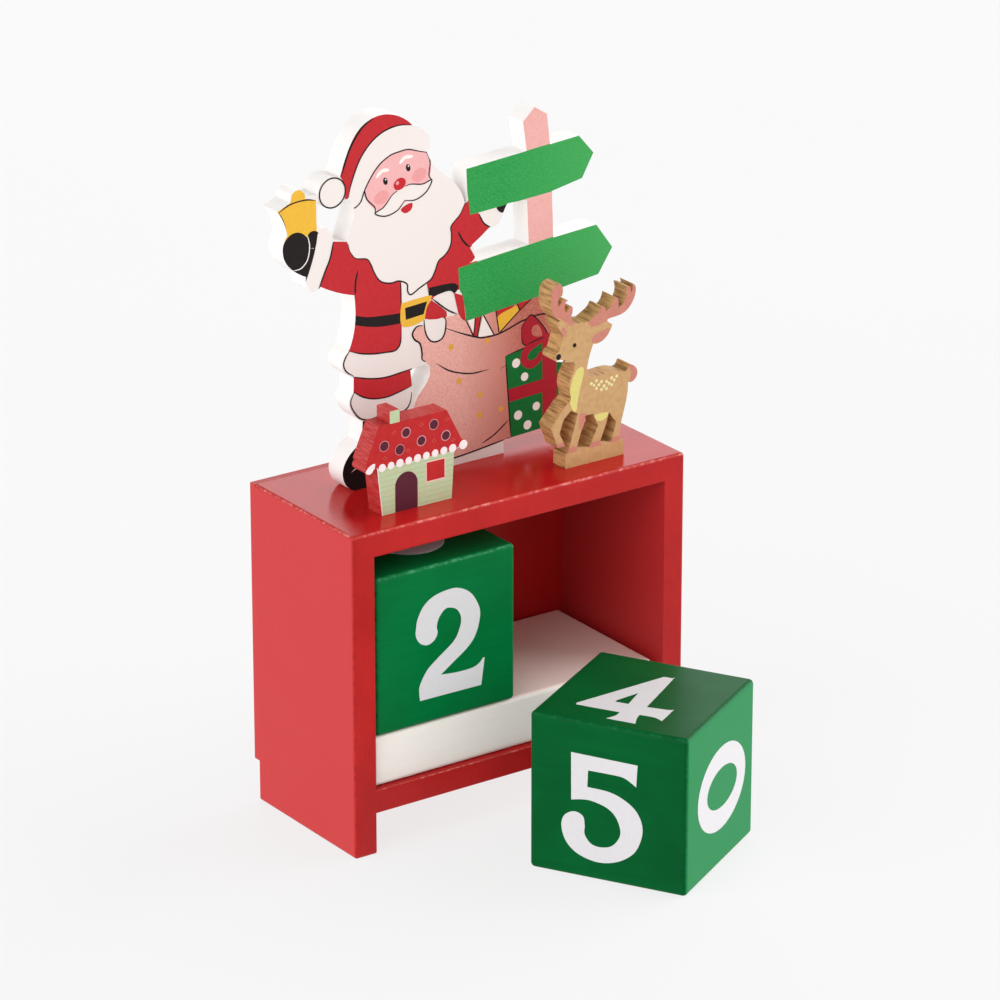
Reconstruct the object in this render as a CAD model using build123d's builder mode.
"""A wooden perpetual desk calendar: a red open-fronted stand with painted cut-out figures on its top
board, a loose white plinth block in its bay, and two green number cubes.

Millimetres, +Z up, the open front faces -Y. The origin is on the table, under the middle of the whole
arrangement, one cube standing in the bay and the other on the table in front of it.
"""
from build123d import *
import os
from math import cos, radians, sin

# ---------------------------------------------------------------- driving dimensions
CUBE = 40.3                 # edge of a number cube
CUBE_ROUND = 1.2            # sanded edge of a cube and of the plinth block

STAND_X = 1.6               # middle of the stand, from the origin
FRONT_Y = 8.2               # plane of the stand's front edges, from the origin
STAND_WIDTH = 96.5
STAND_HEIGHT = 82.5
BOARD_DEPTH = 41.8          # depth of the side, top and bottom boards
SIDE_THICK = 6.0
TOP_THICK = 6.3
BOTTOM_THICK = 6.0
BOTTOM_UNDERSIDE = 10.6     # the sides run down past the bottom board as two feet
BACK_THICK = 2.8
EDGE_ROUND = 0.9            # sanded outer edge of a board
INNER_ROUND = 0.4           # sanded edge inside the bay
BACK_ROUND = 0.9            # sanded rear edge of the thin back

PLINTH_HEIGHT = 13.0
PLINTH_DEPTH = 39.8
PLINTH_SETBACK = 1.6
PLINTH_GAP_LEFT = 0.3
PLINTH_GAP_RIGHT = 1.8
CUBE_GAP = 0.9              # tens cube to the left side board
CUBE_SETBACK = 1.2          # and its front face behind the stand's front

UNITS_POSITION = (12.5, -25.9)   # middle of the units cube on the table
UNITS_TURN = -60.2               # degrees about +Z

PANEL_SETBACK = 25.0        # front face of the tall figure panel, behind the stand's front
PANEL_THICK = 6.0
HOUSE_SETBACK = 7.8
HOUSE_THICK = 5.5
DEER_SETBACK = 7.7
DEER_THICK = 5.0

BRAD_RADIUS = 0.6
BRAD_HEAD_RADIUS = 1.0
BRAD_HEAD = 0.6
BRAD_LENGTH = 16.0
BRAD_SINK = 0.8             # side brads are punched in and filled over
DOWEL_RADIUS = 1.25
DOWEL_IN_BOARD = 4.5
DOWEL_IN_FIGURE = 4.5
DEER_DOWEL_IN_FIGURE = 3.0

# ---------------------------------------------------------------- derived places
LEFT_OUT = STAND_X - STAND_WIDTH / 2
RIGHT_OUT = STAND_X + STAND_WIDTH / 2
LEFT_IN = LEFT_OUT + SIDE_THICK
RIGHT_IN = RIGHT_OUT - SIDE_THICK
INNER_WIDTH = RIGHT_IN - LEFT_IN
BACK_Y = FRONT_Y + BOARD_DEPTH
TOP_UNDERSIDE = STAND_HEIGHT - TOP_THICK
BAY_FLOOR = BOTTOM_UNDERSIDE + BOTTOM_THICK
PLINTH_TOP = BAY_FLOOR + PLINTH_HEIGHT
MID_DEPTH = FRONT_Y + BOARD_DEPTH / 2

os.makedirs("parts", exist_ok=True)


def save(part, node):
    """Labels a finished piece and writes its STEP file."""
    part.label = node
    export_step(part, f"parts/{node}.step")


def cut_out_plane(setback):
    """Upright plane of a cut-out's front face: x from the stand's middle, y up from its top board."""
    origin = (STAND_X, FRONT_Y + setback, STAND_HEIGHT)
    return Plane(origin=origin, x_dir=(1, 0, 0), z_dir=(0, -1, 0))


def closed_outline(*runs, mode=Mode.ADD):
    """Fills the outline made by runs of points: two points are a straight edge, more are a smooth
    curve through them. Each run starts where the one before it ends."""
    with BuildLine() as outline:
        for run in runs:
            if len(run) == 2:
                Line(*run)
            else:
                Spline(*run)
    make_face(outline.edges(), mode=mode)


def round_bar(plane, radius, length, mode=Mode.ADD):
    """Adds or cuts a round bar that starts on a plane and runs along its normal."""
    with BuildSketch(plane) as section:
        Circle(radius)
    extrude(section.sketch, amount=length, mode=mode)


def brads(places, direction, mode=Mode.ADD):
    """Adds brads with small flat heads, or cuts their spaces: each place is a head's outer middle."""
    for place in places:
        head = Plane(origin=place, z_dir=direction)
        round_bar(head, BRAD_HEAD_RADIUS, BRAD_HEAD, mode)
        round_bar(head.offset(BRAD_HEAD), BRAD_RADIUS, BRAD_LENGTH - BRAD_HEAD, mode)


def dowel_places(xs, setback, thickness):
    """Dowel middles along a cut-out's foot, on the top board's upper face."""
    y = FRONT_Y + setback + thickness / 2
    return [(STAND_X + x, y) for x in xs]


def dowels(places, low, high, mode=Mode.ADD):
    """Adds upright dowels between two heights, or cuts their holes."""
    for place in places:
        round_bar(Plane(origin=(*place, low)), DOWEL_RADIUS, high - low, mode)


def rear_edges(board):
    """The edges round a board's rear face."""
    return board.edges().filter_by(Plane.XZ).group_by(Axis.Y)[-1]


def off_the_joint(board, inner_group):
    """A side board's edges but for those that stay square where boards meet: round its inner face
    and its rear face."""
    square = board.edges().filter_by(Plane.YZ).group_by(Axis.X)[inner_group] + rear_edges(board)
    return [edge for edge in board.edges() if edge not in square]


def straight_runs(points):
    """Splits a list of points into straight two-point runs."""
    return [[start, end] for start, end in zip(points, points[1:])]


# ---------------------------------------------------------------- where the fasteners go
BRAD_INSET = 14.0
SIDE_BRAD_YS = (FRONT_Y + BRAD_INSET, BACK_Y - BRAD_INSET)
SIDE_BRAD_ZS = (BOTTOM_UNDERSIDE + BOTTOM_THICK / 2, STAND_HEIGHT - TOP_THICK / 2)
LEFT_BRADS = [(LEFT_OUT + BRAD_SINK, y, z) for y in SIDE_BRAD_YS for z in SIDE_BRAD_ZS]
RIGHT_BRADS = [(RIGHT_OUT - BRAD_SINK, y, z) for y in SIDE_BRAD_YS for z in SIDE_BRAD_ZS]
BACK_BRAD_Y = BACK_Y + BACK_THICK
BACK_BRADS = [(STAND_X + x, BACK_BRAD_Y, z) for x in (-20.0, 20.0) for z in SIDE_BRAD_ZS]
SIDE_MIDDLES = (LEFT_OUT + SIDE_THICK / 2, RIGHT_OUT - SIDE_THICK / 2)
BACK_BRADS += [(x, BACK_BRAD_Y, z) for x in SIDE_MIDDLES for z in (32.0, 60.0)]

PANEL_DOWELS = dowel_places((-27.0, 4.0), PANEL_SETBACK, PANEL_THICK)
HOUSE_DOWELS = dowel_places((-31.5, -18.0), HOUSE_SETBACK, HOUSE_THICK)
DEER_DOWELS = dowel_places((21.5, 32.5), DEER_SETBACK, DEER_THICK)
ALL_DOWELS = PANEL_DOWELS + HOUSE_DOWELS + DEER_DOWELS

# ---------------------------------------------------------------- the stand's boards
with BuildPart() as left_side:
    with BuildSketch():
        with Locations((LEFT_OUT + SIDE_THICK / 2, MID_DEPTH)):
            Rectangle(SIDE_THICK, BOARD_DEPTH)
    extrude(amount=STAND_HEIGHT)
    fillet(off_the_joint(left_side, -1), EDGE_ROUND)
    brads(LEFT_BRADS, (1, 0, 0), Mode.SUBTRACT)
    brads(BACK_BRADS, (0, -1, 0), Mode.SUBTRACT)
save(left_side.part, "left_side")

with BuildPart() as right_side:
    with BuildSketch():
        with Locations((RIGHT_OUT - SIDE_THICK / 2, MID_DEPTH)):
            Rectangle(SIDE_THICK, BOARD_DEPTH)
    extrude(amount=STAND_HEIGHT)
    fillet(off_the_joint(right_side, 0), EDGE_ROUND)
    brads(RIGHT_BRADS, (-1, 0, 0), Mode.SUBTRACT)
    brads(BACK_BRADS, (0, -1, 0), Mode.SUBTRACT)
save(right_side.part, "right_side")

with BuildPart() as top_board:
    with BuildSketch(Plane.XY.offset(TOP_UNDERSIDE)):
        with Locations((STAND_X, MID_DEPTH)):
            Rectangle(INNER_WIDTH, BOARD_DEPTH)
    extrude(amount=TOP_THICK)
    lengthwise = top_board.edges().filter_by(Axis.X).group_by(Axis.Z)
    fillet(lengthwise[-1].sort_by(Axis.Y)[:1], EDGE_ROUND)
    fillet(lengthwise[0], INNER_ROUND)
    brads(LEFT_BRADS, (1, 0, 0), Mode.SUBTRACT)
    brads(RIGHT_BRADS, (-1, 0, 0), Mode.SUBTRACT)
    brads(BACK_BRADS, (0, -1, 0), Mode.SUBTRACT)
    dowels(ALL_DOWELS, STAND_HEIGHT - DOWEL_IN_BOARD, STAND_HEIGHT, Mode.SUBTRACT)
save(top_board.part, "top_board")

with BuildPart() as bottom_board:
    with BuildSketch(Plane.XY.offset(BOTTOM_UNDERSIDE)):
        with Locations((STAND_X, MID_DEPTH)):
            Rectangle(INNER_WIDTH, BOARD_DEPTH)
    extrude(amount=BOTTOM_THICK)
    fillet(bottom_board.edges().filter_by(Axis.X), INNER_ROUND)
    brads(LEFT_BRADS, (1, 0, 0), Mode.SUBTRACT)
    brads(RIGHT_BRADS, (-1, 0, 0), Mode.SUBTRACT)
    brads(BACK_BRADS, (0, -1, 0), Mode.SUBTRACT)
save(bottom_board.part, "bottom_board")

with BuildPart() as back_panel:
    with BuildSketch(Plane.XY.offset(BOTTOM_UNDERSIDE)):
        with Locations((STAND_X, BACK_Y + BACK_THICK / 2)):
            Rectangle(STAND_WIDTH, BACK_THICK)
    extrude(amount=STAND_HEIGHT - BOTTOM_UNDERSIDE)
    fillet(rear_edges(back_panel), BACK_ROUND)
    brads(BACK_BRADS, (0, -1, 0), Mode.SUBTRACT)
save(back_panel.part, "back_panel")

with BuildPart() as side_brads:
    brads(LEFT_BRADS, (1, 0, 0))
    brads(RIGHT_BRADS, (-1, 0, 0))
save(side_brads.part, "side_brads")

with BuildPart() as back_brads:
    brads(BACK_BRADS, (0, -1, 0))
save(back_brads.part, "back_brads")

# ---------------------------------------------------------------- the tall figure panel
# Father Christmas with a bell, a signpost, a sack and a present, sawn from one sheet.
PANEL_TOE = [(-31.0, 0.0), (-33.4, 1.9), (-34.3, 4.9), (-32.6, 8.9), (-28.7, 11.5)]
PANEL_LEG_FUR = [(-28.5, 17.0), (-31.2, 19.6), (-32.2, 22.4), (-31.0, 24.8)]
PANEL_HEM = [(-30.9, 28.6), (-33.2, 30.2), (-34.1, 32.4), (-33.3, 34.4), (-32.0, 35.8)]
PANEL_COAT = [(-32.0, 35.8), (-30.5, 40.8), (-30.2, 45.2), (-30.5, 49.0)]
PANEL_SLEEVE = [(-30.5, 49.0), (-35.2, 50.6), (-39.9, 53.0)]
PANEL_CUFF = [(-39.9, 53.0), (-42.6, 52.4), (-43.9, 54.6), (-43.9, 56.2)]
PANEL_MITTEN = [(-43.9, 56.2), (-47.4, 58.4), (-49.8, 61.5), (-50.2, 64.2), (-48.9, 67.2)]
PANEL_BELL_SIDE = [(-48.9, 67.2), (-49.9, 70.8), (-51.5, 73.6)]
PANEL_BELL_MOUTH = [(-51.5, 73.6), (-49.7, 74.4), (-47.9, 75.2)]
PANEL_CLAPPER = [(-47.9, 75.2), (-47.2, 77.2), (-45.7, 77.8), (-44.1, 76.6), (-43.8, 75.6)]
PANEL_POMPOM = [(-40.4, 75.6), (-39.0, 78.3), (-36.3, 79.1), (-34.2, 78.6)]
PANEL_HAT = [(-34.2, 78.6), (-31.7, 85.0), (-28.1, 89.8), (-22.4, 91.7), (-17.0, 90.2), (-13.8, 87.7)]
PANEL_BRIM = [(-13.8, 87.7), (-10.2, 85.5), (-8.8, 82.6), (-9.7, 80.2)]
PANEL_BEARD = [(-9.7, 80.2), (-8.4, 77.6), (-5.6, 74.5), (-2.0, 71.4), (0.2, 68.2), (1.0, 65.8)]
PANEL_UPPER_SIGN = [(1.9, 65.8), (1.5, 74.0), (18.9, 75.2), (17.9, 82.6), (21.2, 85.7), (24.8, 83.4),
                    (25.7, 75.6), (34.2, 76.2), (38.5, 71.2), (35.2, 65.4), (26.3, 63.8), (26.8, 52.0)]
PANEL_LOWER_SIGN = [(26.8, 52.0), (39.5, 52.8), (44.3, 46.2), (40.2, 40.1), (25.4, 38.4)]
PANEL_SACK_RIGHT = [(25.4, 38.4), (28.6, 35.4), (30.6, 31.0), (31.0, 26.8)]
PANEL_PRESENT = [(31.0, 26.8), (36.4, 26.4), (36.8, 4.6), (14.2, 3.5), (12.3, 3.4), (12.3, 0.0)]

ARM_HOLE_SLEEVE = [(2.0, 50.4), (3.7, 51.2), (3.0, 54.8)]
ARM_HOLE_MITTEN = [(8.5, 58.2), (10.6, 58.6), (12.0, 60.8), (13.4, 63.2)]
BELL_HOLE_CUFF = [(-40.7, 66.9), (-38.5, 67.2), (-37.1, 66.1), (-36.3, 63.4)]
BELL_HOLE_BEARD = [(-32.4, 62.6), (-31.3, 66.0), (-30.3, 70.0), (-31.6, 72.6), (-33.3, 72.9)]
BELL_HOLE_POMPOM = [(-33.3, 72.9), (-36.2, 71.4), (-39.0, 72.6), (-40.3, 74.2)]
LEG_HOLE_SACK = [(-10.6, 27.6), (-9.1, 25.6), (-10.0, 23.0), (-12.4, 20.2), (-13.6, 18.6)]


with BuildPart() as santa_panel:
    with BuildSketch(cut_out_plane(PANEL_SETBACK)):
        closed_outline(
            PANEL_TOE, [(-28.7, 11.5), (-28.5, 17.0)], PANEL_LEG_FUR, [(-31.0, 24.8), (-30.9, 28.6)],
            PANEL_HEM, PANEL_COAT, PANEL_SLEEVE, PANEL_CUFF, PANEL_MITTEN, PANEL_BELL_SIDE,
            PANEL_BELL_MOUTH, PANEL_CLAPPER, [(-43.8, 75.6), (-40.4, 75.6)], PANEL_POMPOM, PANEL_HAT,
            PANEL_BRIM, PANEL_BEARD, [(1.0, 65.8), (1.9, 65.8)], *straight_runs(PANEL_UPPER_SIGN),
            *straight_runs(PANEL_LOWER_SIGN), PANEL_SACK_RIGHT, *straight_runs(PANEL_PRESENT),
            [(12.3, 0.0), (-31.0, 0.0)],
        )
        closed_outline(
            ARM_HOLE_SLEEVE, [(3.0, 54.8), (8.5, 58.2)], ARM_HOLE_MITTEN, [(13.4, 63.2), (19.1, 63.1)],
            [(19.1, 63.1), (19.6, 51.6)], [(19.6, 51.6), (2.0, 50.4)], mode=Mode.SUBTRACT,
        )
        closed_outline(
            BELL_HOLE_CUFF, [(-36.3, 63.4), (-32.4, 62.6)], BELL_HOLE_BEARD, BELL_HOLE_POMPOM,
            [(-40.3, 74.2), (-40.7, 66.9)], mode=Mode.SUBTRACT,
        )
        closed_outline(
            LEG_HOLE_SACK, [(-13.6, 18.6), (-14.2, 21.6)], [(-14.2, 21.6), (-14.8, 27.0)],
            [(-14.8, 27.0), (-10.6, 27.6)], mode=Mode.SUBTRACT,
        )
    extrude(amount=-PANEL_THICK)
    dowels(PANEL_DOWELS, STAND_HEIGHT, STAND_HEIGHT + DOWEL_IN_FIGURE, Mode.SUBTRACT)
save(santa_panel.part, "santa_panel")

# ---------------------------------------------------------------- the gingerbread house
HOUSE_WALL_LEFT = -34.7
HOUSE_WALL_RIGHT = -14.9
HOUSE_EAVES = 12.1
HOUSE_RIDGE = 22.5
ICING_RADIUS = 1.15

with BuildPart() as house:
    with BuildSketch(cut_out_plane(HOUSE_SETBACK)):
        with BuildLine():
            Polyline(
                (HOUSE_WALL_LEFT, 0.0), (HOUSE_WALL_RIGHT, 0.0), (-14.1, HOUSE_EAVES),
                (-11.4, HOUSE_EAVES + 0.6), (-12.0, 14.4), (-16.2, HOUSE_RIDGE), (-29.6, HOUSE_RIDGE),
                (-29.6, 25.6), (-32.3, 25.6), (-32.3, HOUSE_RIDGE), (-35.4, HOUSE_RIDGE),
                (-39.1, 14.0), (-38.4, HOUSE_EAVES), (-36.0, HOUSE_EAVES), (HOUSE_WALL_LEFT, 0.0),
            )
        make_face()
        with Locations((-11.5, HOUSE_EAVES + 0.7), (-38.2, HOUSE_EAVES + 0.2)):
            Circle(ICING_RADIUS)
    extrude(amount=-HOUSE_THICK)
    dowels(HOUSE_DOWELS, STAND_HEIGHT, STAND_HEIGHT + DOWEL_IN_FIGURE, Mode.SUBTRACT)
save(house.part, "house")

# ---------------------------------------------------------------- the deer on its base bar
DEER_BAR_HEIGHT = 3.8
DEER_CHEST = [(18.3, 16.3), (19.6, 17.3), (19.2, 20.4), (20.0, 23.6), (20.8, 26.2), (20.4, 26.9)]
DEER_CHIN = [(20.4, 26.9), (18.6, 27.1), (16.2, 27.7), (15.0, 28.3), (15.1, 29.4), (16.2, 30.2)]
DEER_FACE = [(16.2, 30.2), (16.9, 32.4), (17.4, 33.9)]
DEER_LEFT_EAR = [(17.4, 33.9), (16.4, 35.6), (15.7, 37.6), (16.6, 38.0)]
DEER_LEFT_ANTLER_OUT = [(16.6, 38.0), (14.4, 40.2), (13.8, 43.8), (14.5, 46.4), (16.6, 47.2)]
DEER_LEFT_TINES = [
    [(16.6, 47.2), (17.2, 45.7), (16.9, 44.1)],
    [(16.9, 44.1), (15.9, 43.2), (16.0, 41.8), (16.8, 42.5)],
    [(16.8, 42.5), (17.8, 43.0), (18.8, 42.7)],
    [(18.8, 42.7), (17.8, 41.6), (18.1, 39.9), (19.1, 41.0)],
    [(19.1, 41.0), (19.8, 41.0), (20.1, 40.1), (19.8, 38.9)],
]
DEER_CROWN = [(19.8, 38.9), (20.3, 37.0), (21.4, 36.4), (23.2, 36.2), (24.6, 36.0)]
DEER_TINES = [
    [(24.6, 36.0), (26.4, 37.0), (27.8, 37.9), (28.6, 39.1)],
    [(28.6, 39.1), (29.5, 38.8), (29.8, 37.7)],
    [(29.8, 37.7), (31.4, 38.6), (32.4, 40.9)],
    [(32.4, 40.9), (33.3, 40.2), (33.4, 37.9)],
    [(33.4, 37.9), (35.2, 38.8), (36.0, 40.6), (35.7, 42.8)],
    [(35.7, 42.8), (36.8, 42.6), (37.2, 40.9)],
    [(37.2, 40.9), (37.8, 41.8), (37.6, 43.2)],
]
DEER_BEAM = [(37.6, 43.2), (38.5, 42.4), (38.6, 40.7), (37.1, 37.7), (34.2, 36.0), (30.3, 35.4), (31.8, 34.0)]
DEER_RIGHT_EAR = [(31.8, 34.0), (30.6, 31.8), (28.8, 30.4), (26.2, 30.2)]
DEER_NECK = [(26.2, 30.2), (25.0, 27.0), (24.2, 22.6)]
DEER_BACK = [(24.2, 22.6), (27.5, 21.8), (31.0, 21.9), (33.6, 21.7), (35.4, 21.2), (37.0, 22.7)]
DEER_TAIL = [(37.0, 22.7), (38.6, 21.9), (39.4, 20.4), (38.8, 18.8), (37.2, 18.1), (36.6, 18.5)]
DEER_RUMP = [(36.6, 18.5), (36.5, 16.0), (35.7, 12.2), (34.7, 8.6), (34.3, DEER_BAR_HEIGHT)]
DEER_RAISED_LEG = [(18.3, 16.3), (13.9, 11.3), (15.9, 5.9), (18.1, 5.9), (16.4, 9.4), (17.5, 12.7),
                   (19.8, 14.6), (21.8, 13.4), (20.4, 8.6), (18.9, DEER_BAR_HEIGHT)]
DEER_GAP_MIDDLE = [(24.0, 12.4), (26.3, 12.4), (27.8, 9.0), (25.3, 4.1), (21.5, 4.8), (22.7, 8.5)]
DEER_GAP_HIND = [(31.0, 11.8), (33.2, 8.7), (31.6, 4.0), (28.4, 4.9), (30.1, 8.8)]

with BuildPart() as deer:
    with BuildSketch(cut_out_plane(DEER_SETBACK)):
        closed_outline(
            DEER_CHEST, DEER_CHIN, DEER_FACE, DEER_LEFT_EAR, DEER_LEFT_ANTLER_OUT,
            *DEER_LEFT_TINES, DEER_CROWN, *DEER_TINES, DEER_BEAM,
            DEER_RIGHT_EAR, DEER_NECK, DEER_BACK, DEER_TAIL, DEER_RUMP,
            [(34.3, DEER_BAR_HEIGHT), (18.9, DEER_BAR_HEIGHT)], *straight_runs(DEER_RAISED_LEG)[::-1],
        )
        with BuildLine():
            Polyline(*DEER_GAP_MIDDLE, close=True)
        make_face(mode=Mode.SUBTRACT)
        with BuildLine():
            Polyline(*DEER_GAP_HIND, close=True)
        make_face(mode=Mode.SUBTRACT)
        with BuildLine():
            Polyline((18.2, 0.0), (35.5, 0.0), (35.5, DEER_BAR_HEIGHT), (18.2, DEER_BAR_HEIGHT), close=True)
        make_face()
    extrude(amount=-DEER_THICK)
    dowels(DEER_DOWELS, STAND_HEIGHT, STAND_HEIGHT + DEER_DOWEL_IN_FIGURE, Mode.SUBTRACT)
save(deer.part, "deer")


# ---------------------------------------------------------------- the cut-outs' dowels
with BuildPart() as panel_dowels:
    dowels(PANEL_DOWELS, STAND_HEIGHT - DOWEL_IN_BOARD, STAND_HEIGHT + DOWEL_IN_FIGURE)
save(panel_dowels.part, "panel_dowels")

with BuildPart() as house_dowels:
    dowels(HOUSE_DOWELS, STAND_HEIGHT - DOWEL_IN_BOARD, STAND_HEIGHT + DOWEL_IN_FIGURE)
save(house_dowels.part, "house_dowels")

with BuildPart() as deer_dowels:
    dowels(DEER_DOWELS, STAND_HEIGHT - DOWEL_IN_BOARD, STAND_HEIGHT + DEER_DOWEL_IN_FIGURE)
save(deer_dowels.part, "deer_dowels")

# ---------------------------------------------------------------- the loose blocks
PLINTH_LENGTH = INNER_WIDTH - PLINTH_GAP_LEFT - PLINTH_GAP_RIGHT

with BuildPart() as plinth_block:
    with BuildSketch(Plane.XY.offset(BAY_FLOOR)):
        with Locations((LEFT_IN + PLINTH_GAP_LEFT + PLINTH_LENGTH / 2,
                        FRONT_Y + PLINTH_SETBACK + PLINTH_DEPTH / 2)):
            Rectangle(PLINTH_LENGTH, PLINTH_DEPTH)
    extrude(amount=PLINTH_HEIGHT)
    fillet(plinth_block.edges(), CUBE_ROUND)
save(plinth_block.part, "plinth_block")

with BuildPart() as tens_cube:
    with BuildSketch(Plane.XY.offset(PLINTH_TOP)):
        with Locations((LEFT_IN + CUBE_GAP + CUBE / 2, FRONT_Y + CUBE_SETBACK + CUBE / 2)):
            Rectangle(CUBE, CUBE)
    extrude(amount=CUBE)
    fillet(tens_cube.edges(), CUBE_ROUND)
save(tens_cube.part, "tens_cube")

units_edge = (cos(radians(UNITS_TURN)), sin(radians(UNITS_TURN)), 0)
with BuildPart() as units_cube:
    with BuildSketch(Plane(origin=(*UNITS_POSITION, 0), x_dir=units_edge, z_dir=(0, 0, 1))):
        Rectangle(CUBE, CUBE)
    extrude(amount=CUBE)
    fillet(units_cube.edges(), CUBE_ROUND)
save(units_cube.part, "units_cube")
